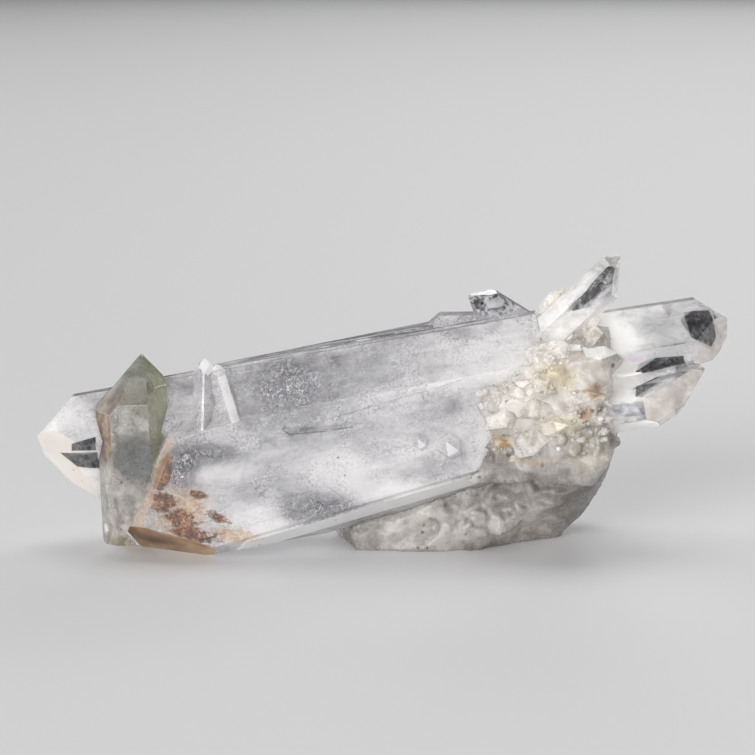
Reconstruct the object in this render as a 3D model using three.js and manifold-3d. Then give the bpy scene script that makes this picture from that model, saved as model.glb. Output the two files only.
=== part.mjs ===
// A quartz cluster that lies on its side. Two thick crystals have grown together lengthwise and
// rest on the brown, iron-stained end of the lower one and on a lump of milky matrix. Two clear
// points come out of the matrix the other way, one slanting crystal leans out of it, and a
// greenish crystal stands across the left end.
//
// Millimetres, +Z up, +X towards the two clear points, -Y towards the viewer. The origin is under
// the middle of the cluster, on the surface that it lies on.
import * as THREE from "three";
import { ConvexGeometry } from "three/addons/geometries/ConvexGeometry.js";
import { ImprovedNoise } from "three/addons/math/ImprovedNoise.js";
import { mergeVertices } from "three/addons/utils/BufferGeometryUtils.js";
import Module from "manifold-3d";

// Driving dimensions

// Quartz's own angle between a sloping face of the point and the crystal's long axis, in degrees.
const POINT_ANGLE = 38.2;
// Space left where one piece touches the next.
const GAP = 0.3;

const at = (x, y, z) => new THREE.Vector3(x, y, z);
const TOWARDS_VIEWER = at(0, -1, 0);

// Every crystal below has six sides round its long axis and six sloping faces over them. Sides
// are numbered from the one that looks to the viewer, then upwards round the crystal, or to the
// right round one that stands up.
//   tip, root   ends of the long axis: the point of the crystal, and where it is cut off
//   turn        turns the crystal round its long axis, in degrees
//   sides       distance of each side from the long axis
//   beyond      how far beyond the tip each sloping face would cross the axis
//   cuts        more planes that take something off, each a place and a direction

// The upper thick crystal runs from the clear point at the far left up into the matrix on the
// right, with one long edge towards the viewer.
const UPPER = {
  tip: at(-63.8, -1.0, 20.6),
  root: at(30.5, -1.0, 37.8),
  turn: 30,
  sides: [7.8, 7.5, 2.15, 11, 17, 8.7],
  beyond: [5, 1.3, -1.8, 2.2, 8.4, 2.2],
};

// A slab that grew along the back of the upper crystal and widens its striated top to the right.
const BACK_SLAB = {
  tip: at(-37, -2.5, 26.9),
  root: at(31.5, 5.4, 39.3),
  turn: 30,
  sides: [4, 6.1, 6.0, 8, 9, 4],
  beyond: [0, 0, 0, 0, 0, 0],
  cuts: [{ place: at(10, 4, 43.0), direction: at(0, 0, 1) }],
};

// A short level slab on top of the right end.
const TOP_SLAB = {
  tip: at(7.5, 4, 40.4),
  root: at(31.5, 4, 40.7),
  turn: 30,
  sides: [3.2, 3.0, 3.6, 3, 3, 3],
  beyond: [0, -0.5, 0, 0, 0, 0],
};

// The lower thick crystal turns one broad side to the viewer. Its left end is a stained break.
const LOWER = {
  tip: at(-62, -4.9, 5.4),
  root: at(28.5, -0.47, 31.6),
  turn: 5,
  sides: [10.2, 13.0, 10.0, 8.0, 13.8, 15.5],
  beyond: [9, 9, 9, 9, 9, 9],
  cuts: [
    { place: at(-38.5, -13, 24.4), direction: at(-0.7, -0.2, 0.7) },
    { place: at(-46.6, -12.9, 6.0), direction: at(-0.91, 0, 0.415) },
    { place: at(-46.6, -12.9, 6.0), direction: at(-0.51, -0.82, 0.28) },
    { place: at(-46.6, -12.9, 6.0), direction: at(-0.73, -0.28, -0.63) },
    { place: at(-43.2, -14.7, 6.9), direction: at(-0.24, -0.55, -0.8) },
    { place: at(-29.8, -7.4, 0.0), direction: at(0, 0, -1) },
    { place: at(-7, -7, 3.9), direction: at(0.168, -0.2, -0.965) },
    { place: at(-38.5, -10.6, 24.4), direction: at(-0.17, -0.31, 0.935) },
  ],
};

// Two small crystals that stand on the upper one, near its left end.
const STANDING = [
  {
    tip: at(-31.8, -8.5, 37.3),
    root: at(-32.2, -10.6, 24.4),
    sides: [2.1, 1.2, 2.6, 3.0, 2.6, 1.2],
    beyond: [0, 0.4, 0.6, 0, 0.6, 0.4],
  },
  {
    tip: at(-29.9, -8.0, 36.2),
    root: at(-26.1, -10.5, 24.4),
    turn: 20,
    sides: [1.9, 1.6, 1.9, 2.2, 1.9, 1.7],
    beyond: [0, 0.5, 0, 0.5, 0, 0.5],
  },
];

// A stubby crystal on the top slab.
const STUBBY = {
  tip: at(17.0, -2.0, 48.2),
  root: at(30, -0.5, 40.0),
  turn: 30,
  sides: [3.0, 3.2, 3.0, 3.2, 3.4, 3.0],
  beyond: [0.6, 0, 0.4, 0, 0.4, 0],
};

// Two tiny crystals that only just come out of the lower crystal's broad side.
const TINY = [
  { tip: at(7.4, -14.6, 23.6), root: at(9.6, -6, 19), sides: [1.3, 1.2, 1.2, 1.3, 1.3, 1.2], beyond: [0, 0, 0, 0, 0, 0] },
  { tip: at(12.4, -15.4, 23.4), root: at(15.6, -6, 18), sides: [2.0, 1.8, 1.9, 2.0, 2.1, 1.9], beyond: [0, 0, 0, 0, 0, 0] },
];

// The greenish crystal that stands across the left end.
const GREEN = {
  tip: at(-43.8, -6.3, 38.0),
  root: at(-42.6, -7.0, -1.5),
  sides: [6.7, 4.6, 3.3, 5.9, 7.3, 8.15],
  beyond: [0, 0, 0, 0, 0, 0],
  cuts: [
    { place: at(-48, -12.9, 2.8), direction: at(0, -0.19, -0.98) },
    { place: at(-52, -6.4, 3.0), direction: at(-0.7, 0, -0.71) },
  ],
};

// The two clear crystals that point to the right.
const RIGHT_UPPER = {
  tip: at(66.2, 2.0, 40.9),
  root: at(37, 1.2, 36.7),
  turn: 30,
  sides: [6.5, 7.2, 3.1, 7.0, 5.2, 6.5],
  beyond: [5.0, 3.1, -1.2, 0.4, 3.0, 0.6],
};
const RIGHT_LOWER = {
  tip: at(61.2, -6.0, 34.5),
  root: at(37.5, 0.8, 28.8),
  turn: 12,
  sides: [8.7, 1.7, 6.6, 7.0, 4.3, 10.2],
  beyond: [0, 0, 0.5, 2, -0.8, 3.7],
};

// The slanting crystal, which leans to the right out of the top.
const SLANTING = {
  tip: at(44.7, -6.0, 56.1),
  root: at(26.3, -4.8, 38.0),
  sides: [3.3, 1.86, 1.86, 3.3, 4.7, 4.7],
  beyond: [1, 0, 0, 1, 0, 0],
};

// A small crystal in the crust under the slanting one, with its broad top face to the light.
const CRUST_CRYSTAL = {
  tip: at(45.2, -13, 38.2),
  root: at(30, -9, 35.0),
  sides: [3.2, 3.0, 2.6, 3.0, 3.6, 3.4],
  beyond: [0, 0.6, 0, 0.4, 0, 0],
};

// The matrix is two broken lumps of massive quartz. Each is what remains behind its planes, with
// smaller flat breaks all over it and an uneven surface.
const BASE_LUMP = {
  centre: at(21, 1, 9),
  planes: [
    { place: at(7.6, -7.3, 0.3), direction: at(-0.02, -0.99, 0.12) },
    { place: at(36.6, 3, 0.9), direction: at(0.39, -0.67, -0.63) },
    { place: at(-6, -4, 3), direction: at(-0.85, -0.3, -0.25) },
    { place: at(-4, 8, 3), direction: at(-0.7, 0.7, 0) },
    { place: at(41.8, 0, 8.0), direction: at(0.8, 0.05, -0.6) },
    { place: at(44.8, -2, 17.8), direction: at(0.94, -0.1, -0.33) },
    { place: at(45.2, -2, 21.5), direction: at(0.9, 0, 0.43) },
    { place: at(20, 13, 6), direction: at(0.05, 0.98, 0.15) },
    { place: at(10, 0, -2), direction: at(0, 0, -1) },
    { place: at(30, 0, 23), direction: at(-0.35, 0, 0.93) },
    { place: at(33, -12.6, 19), direction: at(0.1, -0.95, -0.3) },
  ],
  roughness: 0.7,
  breaks: { seed: 411, count: 150, depth: 1.3, lean: 0.75 },
};
const ROOT_LUMP = {
  centre: at(33, -1, 28),
  planes: [
    { place: at(33, -15.6, 27), direction: at(0, -0.99, 0.1) },
    { place: at(27, -9.5, 38), direction: at(-0.41, -0.63, 0.66) },
    { place: at(18.5, -12.8, 26), direction: at(-0.3, -0.95, 0.05) },
    { place: at(17.5, -12, 26), direction: at(-0.9, -0.42, 0.1) },
    { place: at(26, 0, 42.2), direction: at(-0.4, 0, 0.92) },
    { place: at(44.2, -6, 30), direction: at(0.9, -0.35, 0.1) },
    { place: at(45, 4, 32), direction: at(0.95, 0.2, 0.1) },
    { place: at(44, -2, 20), direction: at(0.87, -0.1, -0.48) },
    { place: at(38, -8, 40.5), direction: at(0.15, -0.55, 0.82) },
    { place: at(33, 3, 43.6), direction: at(0.1, 0.1, 0.98) },
    { place: at(33, 12.4, 28), direction: at(0, 0.98, 0.1) },
    { place: at(33, 0, 12), direction: at(0, -0.2, -0.98) },
  ],
  roughness: 0.6,
  breaks: { seed: 97, count: 130, depth: 1.4, lean: 0.9 },
};

// The crust of small points on the root lump: how many, how thick and how tall they are, and how
// far they lean from the surface they stand on.
const CRUST = {
  seed: 20261,
  count: 76,
  radius: [0.6, 1.7],
  height: [0.4, 1.5],
  lean: 0.5,
  highest: 40.5,
  nearest: -16.2,
};

// Growth ledges: thin plates on the sides of the thick crystals. `from` and `to` run along the
// crystal, behind its tip, and `low` and `high` across the side, from under its middle upwards.
const LEDGES = [
  { on: UPPER, side: 0, from: 70, to: 90, low: 0.5, high: 4.6, rise: 0.4 },
  { on: UPPER, side: 0, from: 38, to: 56, low: 2.6, high: 4.8, rise: 0.25 },
  { on: UPPER, side: 1, from: 27, to: 90, low: -3.6, high: -1.2, rise: 0.35 },
  { on: UPPER, side: 3, from: 20, to: 74, low: -5, high: 1.5, rise: 0.4 },
  { on: LOWER, side: 0, from: 50, to: 86, low: 4.8, high: 9.5, rise: 0.35 },
  { on: LOWER, side: 0, from: 27, to: 47, low: -10, high: -7, rise: 0.3 },
  { on: LOWER, side: 5, from: 34, to: 80, low: -3.5, high: 1.5, rise: 0.35 },
  { on: LOWER, side: 3, from: 25, to: 70, low: -6, high: 3, rise: 0.4 },
];

const wasm = await Module();
wasm.setup();
const noise = new ImprovedNoise();

// A run of even random numbers from 0 to 1 that is the same every time.
function randomRun(seed) {
  let state = seed;
  return () => {
    state = (state * 16807) % 2147483647;
    return state / 2147483647;
  };
}

// Solids

// Turns a geometry into a solid that can be joined and cut.
function solidFrom(geometry) {
  const bare = geometry.clone();
  bare.deleteAttribute("normal");
  bare.deleteAttribute("uv");
  const merged = mergeVertices(bare, 1e-4);
  return new wasm.Manifold(
    new wasm.Mesh({
      numProp: 3,
      vertProperties: new Float32Array(merged.attributes.position.array),
      triVerts: new Uint32Array(merged.index.array),
    }),
  );
}

function geometryFrom(solid) {
  const mesh = solid.getMesh();
  const geometry = new THREE.BufferGeometry();
  geometry.setAttribute("position", new THREE.BufferAttribute(mesh.vertProperties, 3));
  geometry.setIndex(new THREE.BufferAttribute(mesh.triVerts, 1));
  geometry.computeVertexNormals();
  return geometry;
}

const join = (solids) => solids.reduce((whole, solid) => whole.add(solid));
const cutBy = (solid, cutters) => cutters.reduce((left, cutter) => left.subtract(cutter), solid);

function planeThrough(place, direction) {
  const normal = direction.clone().normalize();
  return { normal, reach: normal.dot(place) };
}

// The convex solid behind a set of planes.
function solidBehind(planes) {
  const corners = [];
  const matrix = new THREE.Matrix3();
  for (let i = 0; i < planes.length; i++) {
    for (let j = i + 1; j < planes.length; j++) {
      for (let k = j + 1; k < planes.length; k++) {
        const [a, b, c] = [planes[i].normal, planes[j].normal, planes[k].normal];
        matrix.set(a.x, a.y, a.z, b.x, b.y, b.z, c.x, c.y, c.z);
        if (Math.abs(matrix.determinant()) < 1e-3) continue;
        const corner = at(planes[i].reach, planes[j].reach, planes[k].reach);
        corner.applyMatrix3(matrix.invert());
        const inside = planes.every((plane) => plane.normal.dot(corner) < plane.reach + 1e-5);
        if (inside && !corners.some((other) => other.distanceTo(corner) < 1e-3)) corners.push(corner);
      }
    }
  }
  return solidFrom(new ConvexGeometry(corners));
}

// Crystals

// A crystal's long axis, and the directions in which its six sides look.
function directions({ tip, root, turn = 0, front = TOWARDS_VIEWER }) {
  const axis = new THREE.Vector3().subVectors(tip, root).normalize();
  const ahead = front.clone().addScaledVector(axis, -front.dot(axis)).normalize();
  const across = new THREE.Vector3().crossVectors(axis, ahead);
  const lying = Math.abs(across.z) > 0.5;
  if ((lying && across.z < 0) || (!lying && across.x < 0)) across.negate();
  const outwards = [0, 1, 2, 3, 4, 5].map((side) => {
    const angle = THREE.MathUtils.degToRad(turn + 60 * side);
    return ahead.clone().multiplyScalar(Math.cos(angle)).addScaledVector(across, Math.sin(angle));
  });
  return { axis, outwards };
}

// One crystal as a solid. `grow` moves every face outwards, to make room for it in a neighbour.
function crystal(form, grow = 0) {
  const { tip, root, sides, beyond, cuts = [] } = form;
  const { axis, outwards: directionOf } = directions(form);
  const slope = THREE.MathUtils.degToRad(POINT_ANGLE);
  const planes = [planeThrough(root, axis.clone().negate())];
  for (let side = 0; side < 6; side++) {
    const outwards = directionOf[side];
    planes.push(planeThrough(tip.clone().addScaledVector(outwards, sides[side]), outwards));
    const sloping = outwards.clone().multiplyScalar(Math.cos(slope));
    sloping.addScaledVector(axis, Math.sin(slope));
    planes.push(planeThrough(tip.clone().addScaledVector(axis, beyond[side]), sloping));
  }
  for (const { place, direction } of cuts) planes.push(planeThrough(place, direction));
  return solidBehind(planes.map(({ normal, reach }) => ({ normal, reach: reach + grow })));
}

// A growth ledge: a thin plate with sloping edges, sunk in the side that it stands on, and no
// wider than that side.
function ledge({ on, side, from, to, low, high, rise }, grow = 0) {
  const { axis, outwards } = directions(on);
  const out = outwards[side];
  const up = new THREE.Vector3().addVectors(outwards[(side + 1) % 6], outwards[(side + 2) % 6]).normalize();
  const along = (distance) => on.tip.clone().addScaledVector(axis, -distance).addScaledVector(out, on.sides[side]);
  const sloping = (direction) => direction.clone().addScaledVector(out, 0.6);
  const slanting = (direction) => sloping(direction.clone().addScaledVector(up, 0.8));
  const top = out.clone().multiplyScalar(rise);
  const plate = solidBehind(
    [
      planeThrough(along(from).add(top), out),
      planeThrough(along(from).addScaledVector(out, -1.2), out.clone().negate()),
      planeThrough(along(from), slanting(axis)),
      planeThrough(along(to), slanting(axis.clone().negate())),
      planeThrough(along(from).addScaledVector(up, high), sloping(up)),
      planeThrough(along(from).addScaledVector(up, low), sloping(up.clone().negate())),
    ].map(({ normal, reach }) => ({ normal, reach: reach + grow })),
  );
  return plate.intersect(crystal({ ...on, sides: on.sides.map((distance, i) => distance + (i === side ? rise : 0)) }, grow));
}

// How far a lump's planes let it reach from its centre in a direction, with the edges between
// them a little rounded.
function planesReach({ centre, planes }, direction) {
  const sharpness = 36;
  let sum = 0;
  for (const { place, direction: normal } of planes) {
    const plane = planeThrough(place, normal);
    const facing = plane.normal.dot(direction);
    if (facing > 0.02) sum += ((plane.reach - plane.normal.dot(centre)) / facing) ** -sharpness;
  }
  return sum ** (-1 / sharpness);
}

// The flat breaks of a lump: each looks nearly the way that the surface round it does.
function flatBreaks(form) {
  const { seed, count, depth, lean } = form.breaks;
  const random = randomRun(seed);
  const made = [];
  while (made.length < count) {
    const towards = at(2 * random() - 1, 2 * random() - 1, 2 * random() - 1);
    if (towards.length() > 1 || towards.length() < 0.1) continue;
    towards.normalize();
    const middle = towards.clone().multiplyScalar(planesReach(form, towards));
    const [first, second] = [at(0.03, 0, -0.02), at(-0.01, 0.03, 0.02)].map((step) => {
      const beside = towards.clone().add(step).normalize();
      return beside.multiplyScalar(planesReach(form, beside)).sub(middle);
    });
    const normal = first.cross(second).normalize();
    if (normal.dot(towards) < 0) normal.negate();
    normal.add(at(random() - 0.5, random() - 0.5, random() - 0.5).multiplyScalar(lean)).normalize();
    const place = middle.addScaledVector(towards, -depth * random());
    made.push({ towards, normal, distance: normal.dot(place) });
  }
  return made;
}

// How far a lump's uneven surface is from its centre in a direction.
function lumpReach(form, direction) {
  form.flats ??= flatBreaks(form);
  const angleTo = (flat) => flat.towards.dot(direction);
  const flat = form.flats.reduce((best, other) => (angleTo(other) > angleTo(best) ? other : best));
  const whole = planesReach(form, direction);
  const reach = Math.min(whole, Math.max(flat.distance / flat.normal.dot(direction), whole - 2 * form.breaks.depth));
  const [x, y, z] = form.centre.clone().addScaledVector(direction, reach).toArray();
  const broad = noise.noise(x / 9, y / 9, z / 9);
  const ridge = 0.5 - Math.abs(noise.noise(x / 4 + 7, y / 4, z / 4));
  return reach + form.roughness * (1.3 * broad + 1.2 * ridge);
}

function lump(form, detail) {
  const geometry = new THREE.IcosahedronGeometry(1, detail);
  const positions = geometry.attributes.position;
  const direction = new THREE.Vector3();
  for (let i = 0; i < positions.count; i++) {
    direction.fromBufferAttribute(positions, i).normalize();
    const place = form.centre.clone().addScaledVector(direction, lumpReach(form, direction));
    positions.setXYZ(i, place.x, place.y, place.z);
  }
  return solidFrom(geometry);
}

// The small points of the crust, which stand on the root lump.
function crust({ seed, count, radius, height, lean, highest, nearest }) {
  const random = randomRun(seed);
  const between = ([low, high]) => low + (high - low) * random() ** 1.6;
  const points = [];
  while (points.length < count) {
    const direction = at(2 * random() - 1, 2 * random() - 1, 2 * random() - 1);
    if (direction.length() > 1 || direction.length() < 0.1) continue;
    direction.normalize();
    const axis = direction.clone().add(at(random() - 0.5, random() - 0.5, random() - 0.2).multiplyScalar(2 * lean));
    axis.normalize();
    const size = between(radius);
    const tall = size + between(height);
    const place = ROOT_LUMP.centre.clone().addScaledVector(direction, lumpReach(ROOT_LUMP, direction));
    if (direction.z < -0.45 || place.z > highest || place.y < nearest) continue;
    const sides = [0, 1, 2, 3, 4, 5].map(() => size * (0.8 + 0.4 * random()));
    const beyond = [0, 1, 2, 3, 4, 5].map((side) => (side % 2) * size * random());
    const tip = place.clone().addScaledVector(axis, tall);
    const front = Math.abs(axis.y) > 0.7 ? at(0, 0, 1) : TOWARDS_VIEWER;
    const turn = 60 * random();
    points.push(crystal({ tip, root: place.clone().addScaledVector(axis, -2.5), front, turn, sides, beyond }));
  }
  return points;
}

// Pieces

const mainForms = [UPPER, BACK_SLAB, TOP_SLAB, LOWER, ...STANDING, STUBBY, ...TINY];
const rightForms = [RIGHT_UPPER, RIGHT_LOWER];
// The largest closed surface of a solid: without loose chips, and with pockets inside it filled.
const largestOf = (solid) => solid.decompose().sort((a, b) => b.volume() - a.volume())[0];

// The greenish crystal stands in a notch of the upper crystal and ends against the lower one,
// whose broken underside it doesn't reach under.
const wholeUnderside = { ...LOWER, cuts: LOWER.cuts.slice(0, 4) };
const greenSolid = cutBy(crystal(GREEN), [crystal(LOWER, GAP), crystal(wholeUnderside, GAP)]);
const upperSolid = join([crystal(UPPER), ...LEDGES.filter(({ on }) => on === UPPER).map((form) => ledge(form))]);
const mainSolid = largestOf(
  join([
    cutBy(upperSolid, [crystal(GREEN, GAP)]),
    ...mainForms.filter((form) => form !== UPPER).map((form) => crystal(form)),
    ...LEDGES.filter(({ on }) => on === LOWER).map((form) => ledge(form)),
  ]),
);
const rightSolid = join(rightForms.map((form) => crystal(form)));
const roomForMain = [...mainForms.map((form) => crystal(form, GAP)), ...LEDGES.map((form) => ledge(form, GAP))];
const roomForRight = rightForms.map((form) => crystal(form, GAP));
const slantingSolid = largestOf(cutBy(crystal(SLANTING), [...roomForMain, ...roomForRight]));

const belowGround = solidFrom(new THREE.BoxGeometry(200, 200, 50).translate(0, 0, -25));
const massive = join([lump(BASE_LUMP, 10), lump(ROOT_LUMP, 10), crystal(CRUST_CRYSTAL), ...crust(CRUST)]);
const matrixSolid = largestOf(
  cutBy(massive, [belowGround, ...roomForMain, ...roomForRight, crystal(SLANTING, GAP)]),
);

function piece(name, solid, colour, roughness) {
  const material = new THREE.MeshStandardMaterial({ color: colour, roughness, metalness: 0 });
  const mesh = new THREE.Mesh(geometryFrom(solid), material);
  mesh.name = name;
  return mesh;
}

const cluster = new THREE.Group();
cluster.add(
  piece("main_crystals", mainSolid, 0xe6e3e6, 0.12),
  piece("green_crystal", greenSolid, 0x9a9a84, 0.12),
  piece("right_crystals", rightSolid, 0xdcd8d6, 0.08),
  piece("slanting_crystal", slantingSolid, 0xdedbda, 0.08),
  piece("matrix", matrixSolid, 0xb9b2ab, 0.45),
);
const middle = new THREE.Box3().setFromObject(cluster).getCenter(at(0, 0, 0));
cluster.position.set(-middle.x, -middle.y, 0);

export default cluster;
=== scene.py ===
import math
import random

import bmesh
import bpy
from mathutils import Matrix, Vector, noise
from mathutils.bvhtree import BVHTree


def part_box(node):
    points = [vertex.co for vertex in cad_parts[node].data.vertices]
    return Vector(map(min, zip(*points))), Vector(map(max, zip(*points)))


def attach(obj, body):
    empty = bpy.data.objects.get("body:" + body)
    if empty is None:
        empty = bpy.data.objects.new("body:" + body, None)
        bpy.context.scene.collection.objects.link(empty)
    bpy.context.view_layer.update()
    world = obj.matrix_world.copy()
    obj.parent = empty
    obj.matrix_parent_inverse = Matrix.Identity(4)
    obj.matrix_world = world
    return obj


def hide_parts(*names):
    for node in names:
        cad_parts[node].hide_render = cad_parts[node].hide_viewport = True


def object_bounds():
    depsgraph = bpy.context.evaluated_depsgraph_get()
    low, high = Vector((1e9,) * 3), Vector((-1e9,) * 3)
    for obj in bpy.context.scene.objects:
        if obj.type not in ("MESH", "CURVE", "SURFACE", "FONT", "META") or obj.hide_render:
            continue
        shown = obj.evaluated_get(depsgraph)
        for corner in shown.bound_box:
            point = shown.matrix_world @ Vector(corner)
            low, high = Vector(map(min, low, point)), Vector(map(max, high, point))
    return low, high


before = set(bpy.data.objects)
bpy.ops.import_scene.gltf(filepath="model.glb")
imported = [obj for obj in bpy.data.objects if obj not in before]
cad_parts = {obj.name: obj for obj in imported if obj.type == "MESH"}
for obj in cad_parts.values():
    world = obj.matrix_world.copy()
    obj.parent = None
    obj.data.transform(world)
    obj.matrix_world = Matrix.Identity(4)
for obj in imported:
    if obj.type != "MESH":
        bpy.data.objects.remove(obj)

cad_box = [list(corner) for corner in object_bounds()]

# The matrix: two broken lumps of massive grey quartz that hold the cluster together. It is the
# same mineral as the crystals, cloudy with cracks, and it came out of the rock in one piece with
# them, so its faces are fresh breaks with a little rust and green chlorite in the low places.
MM = 0.001
QUARTZ_IOR = 1.544
PANE_WAY = Vector((0, 0.978, -0.208))    # flat bright or dark panes are laid out seen this way
JOIN = 0.002 * MM


def at(x, y, z):
    """A place in the cluster's frame, from millimetres."""
    return Vector((x, y, z)) * MM


class Finish:
    """A finish being mixed: its material, its shader, and short ways to add nodes that feed it."""

    def __init__(self, name, **plain):
        self.material = bpy.data.materials.new(name)
        self.material.use_nodes = True
        self.tree = self.material.node_tree
        self.shader = self.tree.nodes["Principled BSDF"]
        self.output = self.tree.nodes["Material Output"]
        self.set(**plain)
        object_place = self.tree.nodes.new("ShaderNodeTexCoord").outputs["Object"]
        self.place = self.stretched((1 / MM, 1 / MM, 1 / MM), object_place)

    def add(self, kind, inputs=(), **settings):
        node = self.tree.nodes.new("ShaderNode" + kind)
        for setting, value in settings.items():
            setattr(node, setting, value)
        for socket, value in dict(inputs).items():
            self.feed(node.inputs[socket], value)
        return node

    def feed(self, socket, value):
        if isinstance(value, bpy.types.NodeSocket):
            self.tree.links.new(value, socket)
        else:
            socket.default_value = value

    def set(self, **sockets):
        for socket, value in sockets.items():
            self.feed(self.shader.inputs[socket.replace("_", " ")], value)

    def stretched(self, scale, place=None, turn=(0, 0, 0), move=(0, 0, 0)):
        inputs = {"Vector": place or self.place, "Scale": scale, "Rotation": turn, "Location": move}
        return self.add("Mapping", inputs).outputs[0]

    def noise(self, size, detail=3, roughness=0.55, distortion=0, place=None):
        """Cloudy noise from 0 to 1 whose lumps are about that many millimetres across."""
        inputs = {"Vector": place or self.place, "Scale": 1 / size, "Detail": detail,
                  "Roughness": roughness, "Distortion": distortion}
        return self.add("TexNoise", inputs).outputs[0]

    def grains(self, size, place=None):
        """How far a place is from the middle of its grain."""
        inputs = {"Vector": place or self.place, "Scale": 1 / size}
        return self.add("TexVoronoi", inputs).outputs["Distance"]

    def spread(self, value, low, high, to_low=0, to_high=1):
        """Moves the range from low to high smoothly to another range, and holds it there."""
        inputs = {"Value": value, "From Min": low, "From Max": high, "To Min": to_low, "To Max": to_high}
        return self.add("MapRange", inputs, interpolation_type="SMOOTHSTEP").outputs[0]

    def maths(self, operation, first, second=0, third=0):
        return self.add("Math", {0: first, 1: second, 2: third}, operation=operation).outputs[0]

    def times(self, first, second):
        return self.maths("MULTIPLY", first, second)

    def plus(self, first, second):
        return self.maths("ADD", first, second)

    def minus(self, first, second):
        return self.maths("SUBTRACT", first, second)

    def most(self, first, second):
        return self.maths("MAXIMUM", first, second)

    def more(self, value, mask, amount):
        """The value raised by an amount where the mask is 1."""
        return self.maths("MULTIPLY_ADD", mask, amount, value)

    def colour(self, factor, first, second):
        inputs = {0: factor, 6: (*first, 1) if isinstance(first, tuple) else first,
                  7: (*second, 1) if isinstance(second, tuple) else second}
        return self.add("Mix", inputs, data_type="RGBA").outputs[2]

    def tinted(self, colour, mask, strength, tint):
        """The colour turned to the tint where the mask is 1, as far as the strength says."""
        return self.colour(self.times(mask, strength), colour, tint)

    def darkened(self, share, colour, shade):
        """The colour multiplied by a shade, by that share."""
        inputs = {0: share, 6: colour, 7: shade}
        return self.add("Mix", inputs, data_type="RGBA", blend_type="MULTIPLY").outputs[2]

    def ramp(self, value, *stops):
        """A run of colours, each at its own value."""
        node = self.add("ValToRGB", {0: value})
        points = node.color_ramp.elements
        for point, (position, colour) in zip(points, (stops[0], stops[-1])):
            point.position, point.color = position, (*colour, 1)
        for position, colour in stops[1:-1]:
            points.new(position).color = (*colour, 1)
        return node.outputs[0]

    def specks(self, spacing, size, group=6):
        """1 in round specks that come in groups."""
        dots = self.spread(self.grains(spacing), size / spacing, 0.5 * size / spacing)
        return self.times(dots, self.spread(self.noise(group, 3), 0.5, 0.6))

    def patch(self, middle, size, ragged=0.35, lump=2.5, turn=(0, 0, 0), inner=0.55):
        """1 in an uneven patch round a place in millimetres, falling to 0 at its size."""
        moved = self.add("VectorMath", {0: self.place, 1: middle}, operation="SUBTRACT").outputs[0]
        turned = self.add("VectorRotate", {"Vector": moved, "Rotation": turn}, rotation_type="EULER_XYZ",
                          invert=True).outputs[0]
        scaled = self.add("VectorMath", {0: turned, 1: size}, operation="DIVIDE").outputs[0]
        away = self.add("VectorMath", {0: scaled}, operation="LENGTH").outputs["Value"]
        uneven = self.maths("MULTIPLY_ADD", self.noise(lump, 4, 0.65), 2 * ragged, -ragged)
        return self.spread(self.plus(away, uneven), 1.15, inner)

    def beyond(self, way, place):
        """How many millimetres a point lies beyond a place, in one direction."""
        along = self.add("VectorMath", {0: self.place, 1: way}, operation="DOT_PRODUCT").outputs["Value"]
        return self.minus(along, way.dot(place))

    def pane(self, corners, soft=0.15, reach=4):
        """1 in a patch with straight sides on the front, given by its corners in millimetres."""
        corners = [Vector(corner) for corner in corners]
        middle = sum(corners, Vector()) / len(corners)
        inside = self.minus(reach, self.maths("ABSOLUTE", self.beyond(PANE_WAY, middle)))
        for first, second in zip(corners, corners[1:] + corners[:1]):
            side = PANE_WAY.cross(second - first).normalized()
            if side.dot(middle - first) < 0:
                side = -side
            inside = self.maths("MINIMUM", inside, self.beyond(side, first))
        return self.spread(inside, 0, soft)

    def panes(self, all_corners, soft=0.15):
        """1 in any of several such patches."""
        joined = 0
        for corners in all_corners:
            joined = self.most(self.pane(corners, soft), joined)
        return joined

    def cracks(self, spacing, width, wander=0.5, place=None):
        """1 on thin crooked broken lines, that far apart and that wide in millimetres."""
        place = place or self.place
        stray = self.add("TexNoise", {"Vector": place, "Scale": 1.3 / spacing}).outputs["Color"]
        inputs = {0: stray, 1: (wander * 2,) * 3, 2: place}
        moved = self.add("VectorMath", inputs, operation="MULTIPLY_ADD").outputs[0]
        inputs = {"Vector": moved, "Scale": 1 / spacing}
        edge = self.add("TexVoronoi", inputs, feature="DISTANCE_TO_EDGE").outputs["Distance"]
        return self.times(self.spread(edge, width / spacing, 0.3 * width / spacing),
                          self.spread(self.noise(1.4 * spacing, 2), 0.46, 0.56))

    def marked(self, mark):
        """The value that a mesh's faces hold under that name."""
        return self.add("Attribute", attribute_name=mark).outputs["Fac"]

    def bump(self, height, depth, strength=1.0, under=None):
        inputs = {"Height": height, "Distance": depth * MM, "Strength": strength}
        if under:
            inputs["Normal"] = under
        return self.add("Bump", inputs).outputs[0]

    def let_light_in(self, share):
        """Quartz lets that share of the lamps' light through to what is inside and under it."""
        lamp_ray = self.add("LightPath").outputs["Is Shadow Ray"]
        passed = self.add("BsdfTransparent", {"Color": (share, share, share, 1)}).outputs[0]
        mixed = self.add("MixShader", {0: lamp_ray, 1: self.shader.outputs[0], 2: passed})
        self.tree.links.new(mixed.outputs[0], self.output.inputs["Surface"])

    def absorb(self, colour, density):
        inside = self.add("VolumeAbsorption", {"Color": (*colour, 1), "Density": density})
        self.tree.links.new(inside.outputs[0], self.output.inputs["Volume"])


def copied(node):
    """A CAD node's mesh in a mesh that can be worked on, with its corners joined up."""
    work = bmesh.new()
    work.from_mesh(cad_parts[node].data)
    bmesh.ops.remove_doubles(work, verts=work.verts, dist=JOIN)
    return work


def piece(name, work, finish):
    """A mesh that has been worked on, as a piece of the cluster."""
    mesh = bpy.data.meshes.new(name)
    work.to_mesh(mesh)
    work.free()
    mesh.materials.append(finish.material)
    made = bpy.data.objects.new(name, mesh)
    bpy.context.scene.collection.objects.link(made)
    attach(made, "root")
    return made


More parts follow.
